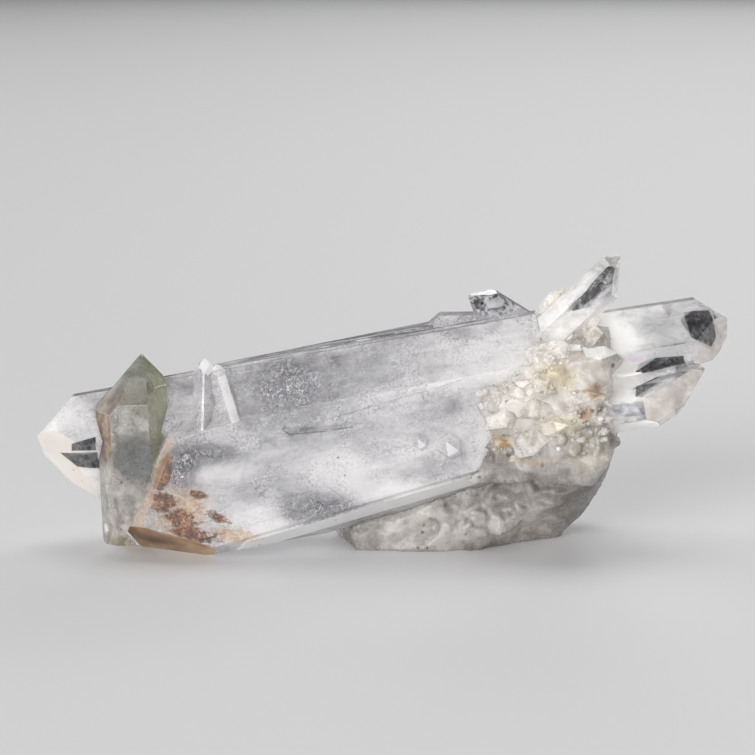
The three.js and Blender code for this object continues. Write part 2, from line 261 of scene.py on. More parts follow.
def remeshed(work, fineness):
    """The same form with even small faces."""
    mesh = bpy.data.meshes.new("rough")
    work.to_mesh(mesh)
    work.free()
    rough = bpy.data.objects.new("rough", mesh)
    bpy.context.scene.collection.objects.link(rough)
    voxels = rough.modifiers.new("voxels", "REMESH")
    voxels.mode = "VOXEL"
    voxels.voxel_size = fineness
    finer = bmesh.new()
    finer.from_mesh(rough.evaluated_get(bpy.context.evaluated_depsgraph_get()).to_mesh())
    bpy.data.objects.remove(rough)
    bpy.data.meshes.remove(mesh)
    return finer


MATRIX_GRAIN = 0.42 * MM
BREAK_SIZES = [(4.2, 0.035), (1.3, 0.06)]    # width of the broken flats and how steeply they tilt
SUGAR_SIZE, SUGAR_HEIGHT = 0.9 * MM, 0.03 * MM
SWELL = 0.1 * MM
# The short crystal at this place keeps its flat faces.
CALM_PLACE, CALM_REACH = at(38.5, -11.5, 38), 6.5 * MM


def broken_flat(place, width, tilt):
    """How far a small flat break moves the surface: each flat is tilted its own way."""
    spot = place / (width * MM)
    middle = noise.voronoi(spot)[1][0]
    shifts = [Vector((shift, 0, 0)) for shift in (0, 17.1, 31.7)]
    lean = Vector([noise.noise(middle * 7.3 + shift) for shift in shifts])
    return lean.dot(spot - middle) * tilt * width * MM * 2


def broken_surface(work, box):
    """Gives the lumps their breaks and grain, and keeps them inside their box."""
    low, high = box
    work.normal_update()
    moves = []
    for corner in work.verts:
        calm = min((corner.co - CALM_PLACE).length / CALM_REACH, 1) ** 3
        move = sum(broken_flat(corner.co, width, tilt) for width, tilt in BREAK_SIZES)
        move += noise.noise(corner.co / SUGAR_SIZE) * SUGAR_HEIGHT + SWELL
        moves.append(corner.normal * move * calm)
    for corner, move in zip(work.verts, moves):
        corner.co = Vector(min(max(c, l), h) for c, l, h in zip(corner.co + move, low, high))
    for face in work.faces:
        face.smooth = True
    return work


stone = Finish("massive_quartz_broken", IOR=QUARTZ_IOR, Subsurface_Weight=0.45,
               Subsurface_Scale=3 * MM, Subsurface_Radius=(1, 0.95, 0.85))
cloud = stone.more(stone.times(stone.noise(1.6, 5, 0.7), 0.35), stone.noise(9, 4, 0.55), 0.75)
whole = stone.ramp(cloud, (0.36, (0.22, 0.205, 0.19)), (0.52, (0.36, 0.335, 0.315)),
                   (0.68, (0.58, 0.545, 0.525)))
dusted = stone.ramp(stone.noise(0.7, 5, 0.8), (0.42, (0.62, 0.58, 0.52)), (0.56, (1, 1, 1)))
whole = stone.darkened(0.4, whole, dusted)
# Where the rock is milky: the middle and reach of each part in millimetres, and how strongly.
PALE_PARTS = [((31, -6, 32), (17, 21, 12), 0.85), ((4, -9, 7), (9, 8, 5), 0.3),
              ((19, -11, 14), (8, 7, 4), 0.35)]
milky = stone.ramp(cloud, (0.35, (0.66, 0.61, 0.55)), (0.65, (0.90, 0.86, 0.82)))
for place, size, strength in PALE_PARTS:
    whole = stone.tinted(whole, stone.patch(place, size, 0.25, 5), strength, milky)
deep = stone.patch((42, -6, 8), (9, 14, 9), 0.3, 4)
whole = stone.tinted(whole, deep, 0.6, (0.15, 0.145, 0.14))
whole = stone.tinted(whole, stone.specks(2.4, 0.55), 0.85, (0.07, 0.08, 0.05))
# Rust and yellowish spots: middle, reach, colour and strength.
TINTS = [
    ((31.5, -12.5, 35), (5, 5, 4), (0.82, 0.74, 0.60), 0.6),
    ((21.7, -11, 23), (3.4, 3, 2.6), (0.68, 0.62, 0.48), 0.5),
    ((32, -12.5, 35.4), (3.0, 4, 2.0), (0.64, 0.54, 0.34), 0.5),
    ((22.4, -11, 22.6), (2.2, 3, 1.2), (0.62, 0.40, 0.18), 0.6),
    ((33, -13, 26.5), (5, 5, 2.2), (0.70, 0.62, 0.45), 0.5),
    ((37.5, -12.5, 21.5), (5.5, 5, 4), (0.56, 0.52, 0.42), 0.5),
    ((38.5, -12.5, 32.5), (2.6, 3, 1.6), (0.50, 0.33, 0.18), 0.75),
    ((36.8, -13, 28.5), (1.6, 3, 1.6), (0.40, 0.24, 0.12), 0.75),
    ((28, -12, 19.5), (6, 4, 1.0), (0.62, 0.46, 0.30), 0.4),
    ((37, -12, 13), (5, 5, 1.0), (0.50, 0.38, 0.26), 0.4),
]
for place, size, tint, strength in TINTS:
    whole = stone.tinted(whole, stone.patch(place, size, 0.7, 1.6), strength, tint)
# Painted highlights: the two faces of the short crystal that catch the lamps, made near white.
PAINTED_HIGHLIGHT_FACES = [
    [(36.3, -12, 40.6), (39.9, -12, 41.1), (43.0, -12, 39.85), (42.7, -12, 39.3), (39.3, -12, 38.1),
     (36.9, -12, 38.7)],
    [(33.2, -12, 41.3), (36.1, -12, 41.1), (36.4, -12, 39.85), (33.7, -12, 39.85)],
]
for corners in PAINTED_HIGHLIGHT_FACES:
    whole = stone.tinted(whole, stone.pane(corners), 0.9, (0.98, 0.97, 0.95))
stone.set(Base_Color=whole)
stone.set(Transmission_Weight=stone.spread(cloud, 0.35, 0.65, 0.45, 0.15))
stone.set(Roughness=stone.spread(stone.noise(1.4, 4, 0.7), 0.3, 0.7, 0.1, 0.32))
stone.set(Normal=stone.bump(stone.noise(0.5, 5, 0.7), 0.06))
stone.let_light_in(0.4)
matrix = piece("matrix_rock", broken_surface(remeshed(copied("matrix"), MATRIX_GRAIN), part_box("matrix")),
               stone)
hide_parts("matrix")

# The two thick crystals, grown together lengthwise, with the slabs and small crystals on them:
# milky quartz, cloudy inside with healed cracks, clearer at the left point. The edges are worn a
# little and the sides carry fine growth lines across the long axis.
UPPER_TIP, UPPER_ROOT = at(-64.8, 0.7, 20.6), at(29.5, 0.7, 37.8)
LOWER_TIP, LOWER_ROOT = at(-63.0, -3.2, 5.4), at(27.5, 1.2, 31.6)
EDGE = 0.14 * MM
# Faces that meet at less than the first angle are one face, and at more than the second, an edge.
FLAT, SHARP = math.radians(0.4), math.radians(9)
SAME_WAY, SAME_PLANE = 0.99, 0.25 * MM


def worn_edges(node):
    """A crystal's solid with its faces whole and a fine worn edge between them."""
    work = copied(node)
    bmesh.ops.dissolve_limit(work, angle_limit=FLAT, verts=work.verts, edges=work.edges)
    sharp = [e for e in work.edges if len(e.link_faces) == 2 and e.calc_face_angle(0) > SHARP]
    bmesh.ops.bevel(work, geom=sharp, offset=EDGE, segments=2, profile=0.6, affect="EDGES",
                    clamp_overlap=True)
    bmesh.ops.triangulate(work, faces=work.faces)
    return work


def mark_faces(made, mark, places):
    """Gives the flat faces that go through these places, in millimetres, a value; the rest hold 0."""
    values = made.data.attributes.new(mark, "FLOAT", "FACE").data
    found = set()
    for face in made.data.polygons:
        for number, ((place, direction), value) in enumerate(places):
            looks_so = face.normal.dot(Vector(direction).normalized()) > SAME_WAY
            if looks_so and abs(face.normal.dot(at(*place) - face.center)) < SAME_PLANE:
                values[face.index].value = value
                found.add(number)
    assert len(found) == len(places), (mark, found)


def level(tip, root):
    """The turn that brings a long axis onto X."""
    return (root - tip).to_track_quat("X", "Z").inverted().to_euler()


milk = Finish("milky_quartz_body", IOR=QUARTZ_IOR, Subsurface_Weight=0.8, Subsurface_Scale=3 * MM,
              Subsurface_Radius=(1, 1, 1))
along_upper = milk.stretched((1, 1, 1), turn=level(UPPER_TIP, UPPER_ROOT))
broad = milk.noise(9, 4, 0.6, 0.4, milk.stretched((0.6, 1, 1), along_upper))
fibres = milk.noise(1.3, 5, 0.7, 0.8, milk.stretched((0.22, 0.6, 1), along_upper))
small = milk.noise(0.9, 5, 0.75, 0.3)
haze = milk.more(-0.21, broad, 1.0)
haze = milk.more(haze, fibres, 0.32)
haze = milk.more(haze, small, 0.28)
# Where the crystals are milkier, or clearer below zero: middle, reach and strength.
HAZE = [
    ((20, -9, 36), (16, 14, 9), 0.32), ((-18, -7, 32), (15, 9, 8), -0.46),
    ((-31, -7, 31), (5, 6, 6), 0.05), ((-3, -7, 33), (9, 8, 7), -0.12),
    ((-37, -12, 17.5), (4.2, 4, 5.5), -0.45), ((-30, -11, 20), (9, 5, 3), -0.25),
    ((-20, -12, 8), (13, 6, 4.5), 0.24), ((-20, -12, 4.5), (15, 6, 2.5), 0.3),
    ((-13, -12, 10), (8.5, 5, 4.5), -0.5), ((5, -10, 13.5), (18, 8, 3), 0.28),
    ((2, -11, 21), (17, 8, 6), 0.08), ((-59, 0, 21), (13, 14, 14), 0.38),
    ((-2, -10, 19), (26, 8, 7), 0.05), ((20, -11, 23), (10, 7, 8), 0.3),
]
for place, size, strength in HAZE:
    haze = milk.more(haze, milk.patch(place, size, 0.45, 4, (0, 0, 0), 0.1), strength)
# A painted highlight: the small facet that faces up toward the lamps is made near white.
PAINTED_HIGHLIGHT_FACET = [(-33.9, -7.5, 35.9), (-32.9, -7.0, 37.2), (-31.9, -6.9, 37.2), (-30.8, -6.9, 35.7),
               (-32.1, -8.4, 34.4)]
haze = milk.more(haze, milk.pane(PAINTED_HIGHLIGHT_FACET), 0.9)
bands = milk.noise(0.6, 3, 0.6, 0, milk.stretched((0.06, 1, 1), along_upper))
banded = milk.times(milk.marked("striped"), milk.more(-4.3, bands, 8))
haze = milk.plus(haze, milk.plus(banded, milk.marked("milkier_and_painted_light")))
shattered = milk.spread(haze, 0.45, 0.05)
leaning = milk.stretched((1, 1, 0.5), turn=(0, -0.6, 0))
splinters = milk.most(milk.cracks(0.8, 0.09, 0.4, leaning), milk.cracks(0.55, 0.05, 0.3))
haze = milk.more(haze, milk.times(splinters, shattered), 0.6)
speckle = milk.minus(milk.noise(0.4, 2, 0.6), 0.5)
speckled_parts = milk.spread(milk.noise(5, 3), 0.4, 0.62, 0.1, 0.75)
haze = milk.more(haze, speckle, speckled_parts)
white = milk.ramp(haze, (0.0, (0.17, 0.175, 0.19)), (0.3, (0.38, 0.38, 0.395)),
                  (0.6, (0.63, 0.62, 0.635)), (1.0, (0.93, 0.92, 0.915)))
white = milk.colour(milk.marked("beige"), white, (0.87, 0.80, 0.74))
stubby = milk.patch((20.5, -1, 47.5), (6.5, 8, 3.4), 0.1, 2)
shards = milk.ramp(milk.noise(1.5, 2, 0.5, 1.5), (0.42, (0.10, 0.11, 0.13)), (0.5, (0.75, 0.76, 0.78)),
                   (0.62, (0.96, 0.96, 0.97)))
white = milk.colour(stubby, white, shards)
# Painted highlights, each with its strength: on the stubby crystal and on the left point.
PAINTED_HIGHLIGHT_PANES = [
    ([(18.9, -2.3, 47.3), (21.6, -1.6, 48.2), (22.8, -1.6, 47.1), (21.3, -2.7, 45.9), (19.4, -3.3, 46.2)],
     0.95),
    ([(-57.2, -3.8, 15.8), (-52.9, -6.6, 16.2), (-52.6, -6.6, 15.0), (-56.1, -3.1, 13.9)], 0.6),
]
for corners, strength in PAINTED_HIGHLIGHT_PANES:
    white = milk.tinted(white, milk.pane(corners), strength, (0.96, 0.97, 0.99))
# Painted shade: clear panes coloured near black, over the dark sheets behind them: two on the
# left point, two on the stubby crystal, and three thin ones along the real crack in the middle of the body.
PAINTED_DARK_PANES = [
    [(-57.8, -7.4, 21.4), (-53.0, -8.2, 23.0), (-53.1, -7.9, 20.2), (-58.1, -5.9, 19.6)],
    [(-60.8, -2.9, 18.6), (-52.9, -7.7, 19.9), (-52.9, -6.6, 16.3), (-57.4, -3.8, 16.0)],
    [(16.7, -0.8, 47.4), (18.7, -1.9, 48.0), (18.5, -2.4, 45.9), (17.2, -1.2, 45.4)],
    [(19.5, -3.3, 46.1), (22.8, -1.8, 46.5), (22.9, -1.8, 45.7), (19.2, -3.3, 45.6)],
    [(-18.8, -10.6, 24.9), (-18.4, -10.6, 24.9), (-16.9, -10.7, 24.0), (-17.2, -10.7, 23.75)],
    [(-17.3, -10.7, 24.0), (-17.2, -10.7, 23.7), (-10.2, -10.5, 24.35), (-10.4, -10.5, 24.65)],
    [(-9.2, -10.4, 24.9), (-9.2, -10.4, 24.6), (-5.2, -10.3, 25.1), (-5.4, -10.3, 25.35)],
]
PAINTED_DARK_GLASS = (0.03, 0.034, 0.042)
upright_grain = milk.noise(0.9, 5, 0.75, 0, milk.stretched((1, 1, 0.35)))
scratched = milk.spread(upright_grain, 0.34, 0.56, 0.97, 0.6)
painted_dark_window = milk.times(milk.panes(PAINTED_DARK_PANES), scratched)
white = milk.colour(painted_dark_window, white, PAINTED_DARK_GLASS)
white = milk.tinted(white, milk.specks(2.6, 0.3, 5), 0.7, (0.12, 0.12, 0.12))
# The iron stain at the lower left, and the paler one round it: middle, reach and turn.
STAINS = [
    ((-40.4, -12, 16.5), (2.3, 6, 5.6), (0, 0.33, 0)), ((-40.5, -12, 11.5), (3.6, 6, 2.8), (0, 0.3, 0)),
    ((-37.5, -12.5, 8.2), (4.8, 6, 2.9), (0, 0.5, 0)), ((-33.8, -12, 12.8), (2.2, 5, 1.1), (0, 0.2, 0)),
    ((-30.5, -12.3, 8.6), (3.4, 5, 1.4), (0, 0.35, 0)), ((-35, -12.5, 5.5), (6.5, 6, 2.3), (0, 0.3, 0)),
]
PALE_STAINS = [
    ((-37.5, -12.5, 9.5), (8.5, 7, 8.5), (0, 0.33, 0)), ((-27.5, -12.5, 5.2), (8.5, 6, 2.2), (0, 0.2, 0)),
]
STREAK_SLOPE = math.radians(-38)
streaks = milk.noise(1.1, 5, 0.75, 0.8, milk.stretched((0.3, 1, 1.1), turn=(0, STREAK_SLOPE, 0)))
fan = milk.more(milk.times(streaks, 1.6), milk.noise(1.3, 6, 0.8), 2.2)
pale_area = 0
for place, size, turn in PALE_STAINS:
    pale_area = milk.most(milk.patch(place, size, 0.3, 3, turn, 0.1), pale_area)
pale_stain = milk.spread(milk.plus(pale_area, fan), 2.0, 3.0, 0, 0.85)
pale_stain = milk.times(pale_stain, milk.spread(pale_area, 0, 0.35))
rusty = milk.noise(1.2, 6, 0.85)
pale_rust = milk.ramp(rusty, (0.42, (0.42, 0.24, 0.12)), (0.6, (0.74, 0.60, 0.46)))
white = milk.colour(pale_stain, white, pale_rust)
area = 0
for place, size, turn in STAINS:
    area = milk.most(milk.patch(place, size, 0.3, 2, turn, 0.1), area)
stain = milk.spread(milk.plus(area, fan), 2.15, 2.52)
stain = milk.times(stain, milk.spread(area, 0, 0.2))
rust = milk.ramp(rusty, (0.41, (0.04, 0.015, 0.01)), (0.50, (0.13, 0.045, 0.022)),
                 (0.56, (0.30, 0.13, 0.055)), (0.64, (0.58, 0.38, 0.23)))
white = milk.tinted(white, stain, 0.92, rust)
broken = milk.marked("broken_end")
smooth_brown = milk.ramp(milk.noise(5, 3, 0.5), (0.36, (0.36, 0.20, 0.10)), (0.62, (0.60, 0.44, 0.30)))
dark_foot = milk.patch((-43.2, -9.4, 2.0), (7.5, 6, 4.4), 0.3, 3, (0, 0.12, 0), 0.1)
smooth_brown = milk.colour(dark_foot, smooth_brown, (0.085, 0.038, 0.018))
speckled = milk.ramp(milk.noise(0.8, 5, 0.75), (0.4, (0.6, 0.5, 0.45)), (0.6, (1, 1, 1)))
smooth_brown = milk.darkened(0.35, smooth_brown, speckled)
white = milk.colour(broken, white, smooth_brown)
milk.set(Base_Color=white)
covered = milk.most(milk.times(stain, 0.85), milk.times(broken, 0.95))
covered = milk.most(covered, milk.times(pale_stain, 0.5))
clearness = milk.spread(haze, 0.1, 0.8, 0.94, 0.25)
clearness = milk.most(clearness, milk.times(stubby, 0.85))
clearness = milk.more(milk.times(clearness, milk.minus(1, painted_dark_window)), painted_dark_window, 0.95)
milk.set(Transmission_Weight=milk.times(clearness, milk.minus(1, covered)))
polish = milk.spread(small, 0.3, 0.7, 0.02, 0.10)
milk.set(Roughness=milk.most(polish, milk.times(covered, 0.5)))
lines = milk.noise(1.0, 2, 0.5, 0, milk.stretched((3.2, 0.10, 0.10), along_upper))
rough_break = milk.times(milk.noise(0.9, 5, 0.7), broken)
surface = milk.bump(lines, 0.04, 0.5, milk.bump(milk.noise(3, 3), 0.10, 0.4))
milk.set(Normal=milk.bump(rough_break, 0.4, 1, surface))
milk.let_light_in(0.6)
milk.absorb((0.93, 0.92, 0.95), 8)
body = piece("thick_crystals", worn_edges("main_crystals"), milk)
mark_faces(body, "broken_end", [
    (((-45.8, -11.6, 7.9), (-0.51, -0.82, 0.28)), 0.55), (((-44.3, -12.8, 6.8), (-0.24, -0.55, -0.8)), 1.0),
    (((-47.6, -11.2, 6.0), (-0.91, 0, 0.415)), 0.5), (((-47.6, -11.2, 6.0), (-0.73, -0.28, -0.63)), 1.0),
    (((-36.7, -0.4, 0.0), (0, 0, -1)), 0.8),
])
mark_faces(body, "striped", [
    (((-11.3, 3.6, 37.9), (-0.18, 0, 0.98)), 0.8), (((-13.9, -3.2, 37.5), (-0.18, 0, 0.98)), 0.8),
    (((-10.7, -2.0, 38.4), (-0.18, 0, 0.98)), 0.8), (((-0.2, 1.5, 38.0), (0.01, -0.86, 0.51)), 0.7),
])
# Faces made milkier, or clearer below zero. The whitened face at the small facet is a painted highlight, and
# the whitened faces that turn downward on the lower crystal are painted glow.
mark_faces(body, "milkier_and_painted_light", [
    (((-32.2, -8.2, 36.0), (0.02, -0.68, 0.74)), 0.9), (((-29.9, -8.7, 34.2), (0.27, -0.92, 0.28)), 0.35),
    (((6.7, -12.6, 22.9), (0.16, -0.93, -0.33)), 0.9), (((12.3, -13.2, 22.2), (0.16, -0.95, -0.27)), 0.9),
    (((18.9, -1.8, 48.2), (-0.26, -0.74, 0.63)), -0.1), (((16.7, -0.9, 47.4), (-0.67, -0.74, -0.04)), -0.2),
    (((-11.3, 3.6, 37.9), (-0.18, 0, 0.98)), -0.4), (((3.6, -9.0, 11.0), (0.25, -0.57, -0.78)), 0.8),
    (((-13.9, -3.2, 37.5), (-0.18, 0, 0.98)), -0.25), (((-0.2, 1.5, 38.0), (0.01, -0.86, 0.51)), -0.15),
])
mark_faces(body, "beige", [
    (((-59.2, -3.2, 17.2), (-0.54, -0.68, -0.50)), 0.85), (((-61.2, -2.4, 25.9), (-0.75, 0, 0.66)), 0.7),
])
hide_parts("main_crystals")

# What shows inside the thick crystals: white veils of tiny bubbles along healed cracks, and bright
# flakes where a crack has opened. They formed as the crystals cracked and grew on.
VEIL_STEP = 0.45 * MM


def inside_of(node):
    """Tells how deep a place lies inside a CAD node, negative outside it."""
    work = copied(node)
    skin = BVHTree.FromBMesh(work)
    work.free()

    def depth(place):
        near, direction, _, away = skin.find_nearest(place)
        return away if (near - place).dot(direction) > 0 else -away

    return depth


def veil(work, depth, middle, along, across, length, width, seed, fullness=0.15, wave=0.9, least=0.35):
    """A wavy ragged sheet, kept where it lies inside its crystal."""
    chance = Vector((seed * 3.7, seed * 1.3, seed * 0.7))
    out = along.cross(across).normalized()
    long_steps, wide_steps = round(length * MM / VEIL_STEP), round(width * MM / VEIL_STEP)
    corners = {}
    for i in range(long_steps + 1):
        for j in range(wide_steps + 1):
            u, v = i / long_steps - 0.5, j / wide_steps - 0.5
            place = middle + along * u * length * MM + across * v * width * MM
            place = place + out * noise.noise(place / (5 * MM) + chance) * wave * MM
            edge = 1 - (2 * abs(u)) ** 3 - (2 * abs(v)) ** 3
            kept = noise.fractal(place / (2.6 * MM) + chance, 0.7, 2.1, 4) + fullness + 0.5 * edge - 0.35
            if kept > 0 and depth(place) > least * MM:
                corners[i, j] = work.verts.new(place)
    for (i, j), corner in list(corners.items()):
        ring = [corner, corners.get((i + 1, j)), corners.get((i + 1, j + 1)), corners.get((i, j + 1))]
        if all(ring):
            work.faces.new(ring).smooth = True


def flakes(work, depth, places, count, size, seed, slim=(0.3, 0.9), way=None, least=0.2):
    """Tiny flat flakes scattered round some places, each at its own angle or near one way."""
    random.seed(seed)
    for _ in range(count):
        middle, reach = random.choice(places)
        place = at(*[m + r * random.gauss(0, 0.5) for m, r in zip(middle, reach)])
        first = Vector([random.gauss(0, 1) for _ in range(3)]) + 2.5 * Vector(way or (0, 0, 0))
        first.normalize()
        second = first.cross(Vector([random.gauss(0, 1) for _ in range(3)])).normalized()
        half = random.triangular(*size, size[0]) / 2 * MM
        wide = half * random.uniform(*slim)
        if depth(place) > least * MM + half:
            work.faces.new([work.verts.new(place + first * a * half + second * b * wide)
                            for a, b in [(-1, -0.6), (0.2, -1), (1, 0.4), (-0.3, 1)]])


def strip(work, path, inwards):
    """A crack that starts along a line of places and goes inwards."""
    corners = [(work.verts.new(at(*place)), work.verts.new(at(*place) + at(*inwards))) for place in path]
    for (a, b), (c, d) in zip(corners, corners[1:]):
        work.faces.new([a, c, d, b])


random.seed(7)
upper_way = (UPPER_ROOT - UPPER_TIP).normalized()
in_body = inside_of("main_crystals")
veils = bmesh.new()
for number in range(34):
    low = number % 2
    tip, root = (LOWER_TIP, LOWER_ROOT) if low else (UPPER_TIP, UPPER_ROOT)
    way = (root - tip).normalized()
    middle = tip.lerp(root, random.uniform(0.22, 0.97))
    middle += Vector((0, random.uniform(-8.5, -1) * MM, random.uniform(-4.5, 4.5) * MM))
    lean = Vector((0.25 * random.gauss(0, 1), random.uniform(-0.9, 0.9), 1)).normalized()
    across = (lean - way * lean.dot(way)).normalized()
    veil(veils, in_body, middle, way, across, random.uniform(7, 20), random.uniform(4, 9), number)
for number, (x, y, z, turn) in enumerate([(-57, 0, 23, 0.5), (-55, 2, 20, -0.7), (-59, 1, 22, 1.2)]):
    across = Vector((0.2, math.sin(turn), math.cos(turn))).normalized()
    veil(veils, in_body, at(x, y, z), (upper_way - across * upper_way.dot(across)).normalized(), across,
         9, 6, 60 + number, fullness=-0.05)
mist = Finish("white_bubble_veil", IOR=1.3, Base_Color=(0.95, 0.95, 0.97, 1), Roughness=0.5)
wisps = mist.times(mist.spread(mist.noise(3.5, 4, 0.6), 0.35, 0.7),
                   mist.spread(mist.noise(0.5, 3, 0.7), 0.35, 0.7))
mist.set(Alpha=mist.times(wisps, 0.7))
strip(veils, [(7.4, -9.8, 25.3), (9.2, -9.8, 25.0), (11.3, -9.9, 24.3), (12.3, -10.0, 23.7)],
      (0.2, 1.5, 1.4))
strip(veils, [(-28.9, -10.9, 23.6), (-21, -10.2, 24.3), (-13, -10.0, 24.6), (-5, -9.9, 25.2)],
      (0, 1.0, -1.6))
piece("veils_in_thick_crystals", veils, mist)

bright = bmesh.new()
frost = bmesh.new()
# Where the flakes gather: middle and reach.
CRACKLES = [
    ((-19, -6.2, 32), (11, 3.5, 5)), ((-22, -6.2, 32), (6, 3.5, 4)), ((-37.2, -11.2, 17.3), (2, 1.0, 4)),
    ((-12, -11.5, 10.5), (6, 1.0, 3)), ((-22, -11.5, 11), (6, 1.0, 3)), ((-24, -10.5, 20), (9, 0.8, 2)),
]
flakes(frost, in_body, CRACKLES, 2600, (0.15, 1.0), 20, (0.08, 0.3), (0.35, 0, 0.8), 0.08)
flakes(bright, in_body, CRACKLES, 3000, (0.15, 1.1), 21, (0.08, 0.3), (0.35, 0, 0.8), 0.08)
flakes(bright, in_body, CRACKLES, 1500, (0.15, 0.7), 22, (0.1, 0.4), (-0.5, 0, 0.7), 0.08)
flakes(bright, in_body, [((5, -8, 25), (26, 2.5, 9))], 900, (0.1, 0.5), 23, (0.3, 0.9))
silver = Finish("bright_crack_flake", Metallic=0.8, Roughness=0.22)
silver.set(Base_Color=silver.ramp(silver.noise(0.9, 2), (0.4, (0.35, 0.35, 0.38)), (0.55, (1, 1, 1))))
piece("flakes_in_thick_crystals", bright, silver)
frosting = Finish("white_crack_flake", Roughness=0.4)
frosting.set(Base_Color=frosting.ramp(frosting.noise(0.9, 2), (0.4, (0.7, 0.7, 0.73)), (0.6, (1, 1, 1))))
piece("frost_in_thick_crystals", frost, frosting)

# Flat dark sheets, painted shade: near the points of the clear crystals they stand for the dark seen
# through the faces, and in the body they lie along a real crack that looks dark. Each is one plane inside
# its crystal.
PAINTED_DARK_SHEETS = {
    "left_point": [
        [(-57.8, -6.8, 21.4), (-53.1, -7.6, 22.9), (-53.0, -7.2, 20.0), (-58.0, -5.2, 19.5)],
        [(-60.6, -2.5, 18.6), (-52.9, -7.1, 19.9), (-52.7, -5.9, 16.4), (-57.4, -3.2, 16.0)],
    ],
    "body": [
        [(-18.6, -10.3, 24.6), (-17.2, -10.4, 23.8), (-17.0, -8.2, 24.6), (-18.4, -8.2, 25.4)],
        [(-17.2, -10.4, 23.8), (-11.2, -10.2, 24.4), (-11.2, -8.2, 25.2), (-17.0, -8.2, 24.6)],
        [(-11.2, -10.2, 24.4), (-5.2, -10.0, 25.3), (-5.2, -8.2, 26.0), (-11.2, -8.2, 25.2)],
    ],
    "right_points": [
        [(55.4, -1.2, 43.4), (57.8, -0.1, 45.3), (61.2, 0.7, 45.2), (62.6, 1.9, 39.7), (61.9, 2.6, 37.2),
         (57.5, -3.1, 40.3)],
        [(47.2, -0.9, 33.8), (50.9, -2.4, 36.8), (56.1, -2.0, 37.0), (56.5, -1.6, 35.0),
         (50, -1.2, 33.4)],
        [(56.4, -4.9, 34.6), (56.1, -5.5, 33.3), (52.4, -5.2, 33.1), (46.8, -7.9, 30.2),
         (46.4, -5.5, 31.4), (51, -4.2, 33.4)],
    ],
    "slanting_point": [
        [(33.6, -6.2, 46.0), (38.4, -5.6, 51.9), (41.2, -5.9, 54.5), (42.9, -4.5, 53.6),
         (42.8, -4.4, 51.6), (39.9, -6.7, 49.7), (37.8, -6.5, 46.9)],
    ],
}
painted_dark_finish = Finish("painted_dark_sheet", Roughness=0.2)
greyer = painted_dark_finish.spread(painted_dark_finish.noise(1.2, 4, 0.7), 0.45, 0.7)
painted_dark_finish.set(Base_Color=painted_dark_finish.colour(greyer, (0.008, 0.01, 0.014), (0.15, 0.16, 0.18)))
broken_up = painted_dark_finish.noise(1.1, 4, 0.75, 0, painted_dark_finish.stretched((1, 1, 0.4)))
painted_dark_finish.set(Alpha=painted_dark_finish.spread(broken_up, 0.36, 0.48, 0.45, 0.97))
for name, sheets in PAINTED_DARK_SHEETS.items():
    planes = bmesh.new()
    for sheet in sheets:
        planes.faces.new([planes.verts.new(at(*corner)) for corner in sheet])
    piece("painted_dark_sheets_in_" + name, planes, painted_dark_finish)

# The greenish crystal that stands across the left end: clear quartz with a smoky green tint, a
# moss of chlorite near its point and an iron stain down its left side.
green = Finish("greenish_quartz", IOR=QUARTZ_IOR, Subsurface_Weight=0.5, Subsurface_Scale=2 * MM,
               Subsurface_Radius=(1, 1, 0.9))
tint = green.ramp(green.noise(4, 4, 0.6), (0.35, (0.50, 0.48, 0.455)), (0.65, (0.78, 0.75, 0.72)))
# Its darker and paler zones: middle, reach, colour and strength.
ZONES = [
    ((-45, -10, 33), (7, 9, 6.5), (0.30, 0.31, 0.25), 0.85),
    ((-45.5, -11, 19.5), (5, 9, 6), (0.17, 0.19, 0.20), 0.85),
    ((-47.4, -11, 26.2), (2.7, 4, 2.8), (0.66, 0.66, 0.62), 0.8),
    ((-49, -11, 3), (3.5, 6, 2), (0.42, 0.36, 0.20), 0.7),
]
for place, size, shade, strength in ZONES:
    tint = green.tinted(tint, green.patch(place, size, 0.3, 2.5), strength, shade)
tint = green.colour(green.marked("olive"), tint, (0.29, 0.33, 0.18))
browned = green.times(green.marked("stained"), green.patch((-51, -9, 25.5), (5, 7, 9), 0.3, 2))
brown = green.ramp(green.noise(2.2, 5, 0.7), (0.4, (0.13, 0.07, 0.035)), (0.6, (0.42, 0.30, 0.21)))
tint = green.colour(browned, tint, brown)
tint = green.tinted(tint, green.specks(1.5, 0.3, 4), 0.8, (0.02, 0.02, 0.02))
green.set(Base_Color=tint)
green_haze = green.spread(green.noise(2.4, 5, 0.7), 0.35, 0.7, 0.9, 0.5)
green.set(Transmission_Weight=green.times(green_haze, green.more(1, browned, -0.6)))
green.set(Roughness=green.spread(green.noise(2, 3), 0.3, 0.7, 0.03, 0.10))
green.let_light_in(0.55)
green.absorb((0.78, 0.78, 0.73), 13)
green_crystal = piece("standing_green_crystal", worn_edges("green_crystal"), green)
mark_faces(green_crystal, "olive", [
    (((-40.6, -7.4, 29.7), (0.86, -0.5, 0.05)), 0.7), (((-40.3, -5.6, 33.1), (0.65, -0.38, 0.66)), 0.7),
])
mark_faces(green_crystal, "stained", [
    (((-52.7, -6.5, 16.4), (-0.87, -0.5, -0.02)), 0.95), (((-48.8, -7.1, 31.6), (-0.66, -0.38, 0.65)), 0.6),
])
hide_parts("green_crystal")
in_green = inside_of("green_crystal")
moss = bmesh.new()
MOSS = [
    ((-43.6, -8.5, 34.0), (1.4, 1.5, 1.8)), ((-45.6, -10.4, 26.5), (0.9, 0.6, 2.6)),
    ((-43, -9.0, 29), (1.5, 1.5, 3)), ((-48.5, -10.5, 4.5), (2.6, 1, 1.3)), ((-46, -10, 18), (3, 1, 5)),
]
flakes(moss, in_green, MOSS, 700, (0.12, 0.6), 33)
chlorite = Finish("green_chlorite_moss", Roughness=0.7)
